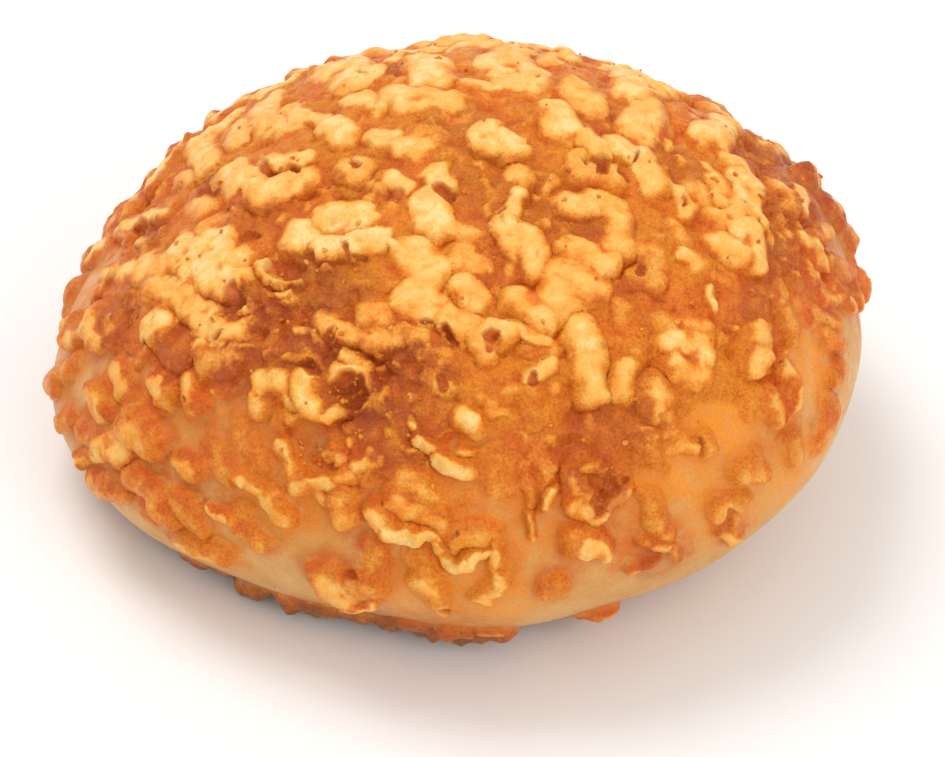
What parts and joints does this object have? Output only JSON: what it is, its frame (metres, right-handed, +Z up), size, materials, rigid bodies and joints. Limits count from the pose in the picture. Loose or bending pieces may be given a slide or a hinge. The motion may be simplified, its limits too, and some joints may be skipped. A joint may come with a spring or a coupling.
{
  "type": "cheese roll",
  "caption": "Round, slightly oval bread roll baked under a lumpy golden coat of melted grated cheese, with a flat base.",
  "frame": {"origin": "middle of the flat base that the roll rests on", "axes": "+Z up through the crown, +X along the roll's long side, -Y towards the side the picture shows"},
  "size_m": [0.1142, 0.1089, 0.057],
  "materials": {
    "baked_cheese_crust": "baked golden crust with pale yellow melted cheese, satin with a light greasy sheen"
  },
  "bodies": {
    "root": {"cheese_roll": "baked_cheese_crust"}
  },
  "joints": []
}
